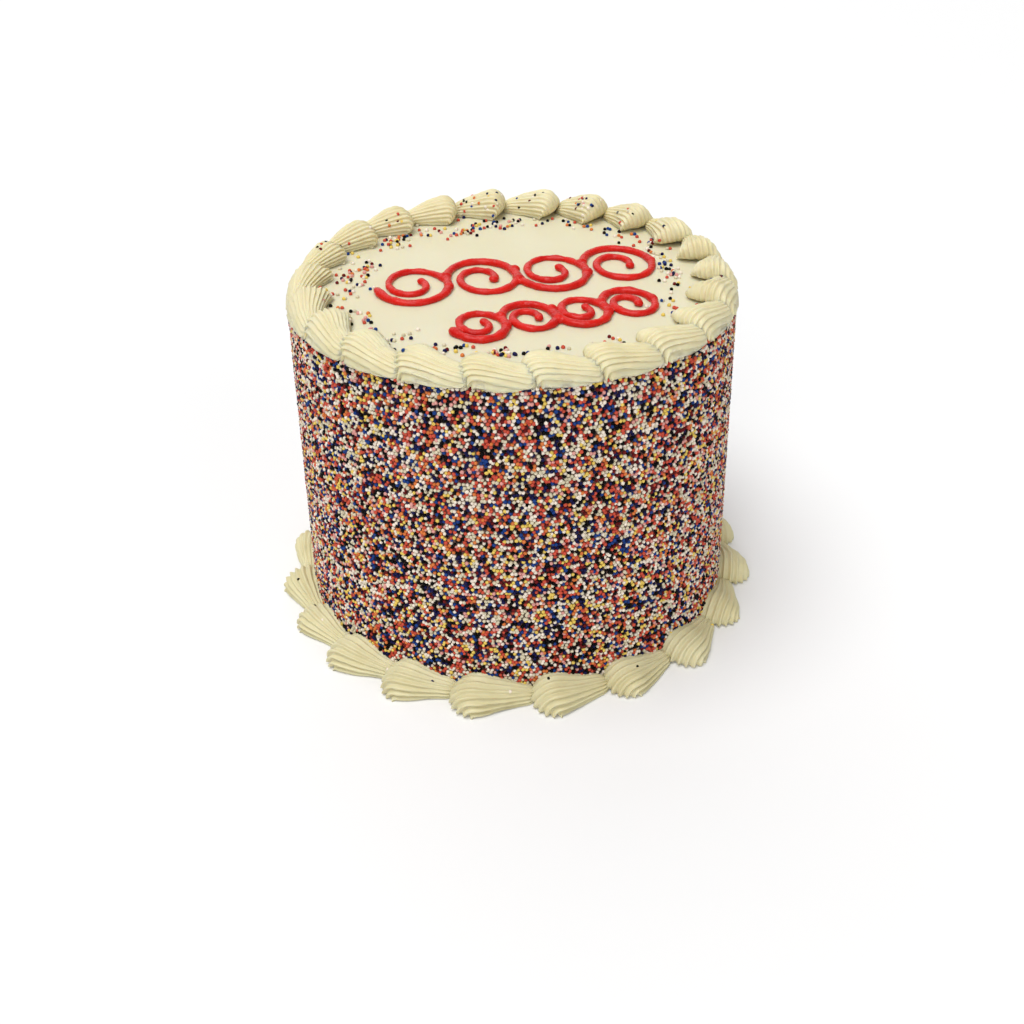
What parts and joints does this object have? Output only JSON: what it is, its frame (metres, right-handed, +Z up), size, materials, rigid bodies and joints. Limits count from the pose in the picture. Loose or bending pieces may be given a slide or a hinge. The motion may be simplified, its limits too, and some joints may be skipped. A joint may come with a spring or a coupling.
{
  "type": "sprinkle cake",
  "caption": "Tall round layer cake coated with round sugar sprinkles, with piped shell borders at rim and foot and red scrollwork on top.",
  "frame": {"origin": "centre of the cake's flat underside, on the surface that it stands on", "axes": "+Z up along the cake's axis; -Y towards the front, where the lower scroll lies; +X to the right"},
  "size_m": [0.1981, 0.1979, 0.141],
  "materials": {
    "sprinkle_coat": "cream icing under a close coat of white, coral, black, navy, orange, yellow, blue and pink sugar balls",
    "cream_icing": "soft satin",
    "red_icing": "wet gloss"
  },
  "bodies": {
    "root": {"cake": "sprinkle_coat", "rim_border": "cream_icing", "foot_border": "cream_icing", "upper_scroll": "red_icing", "lower_scroll": "red_icing"}
  },
  "joints": []
}
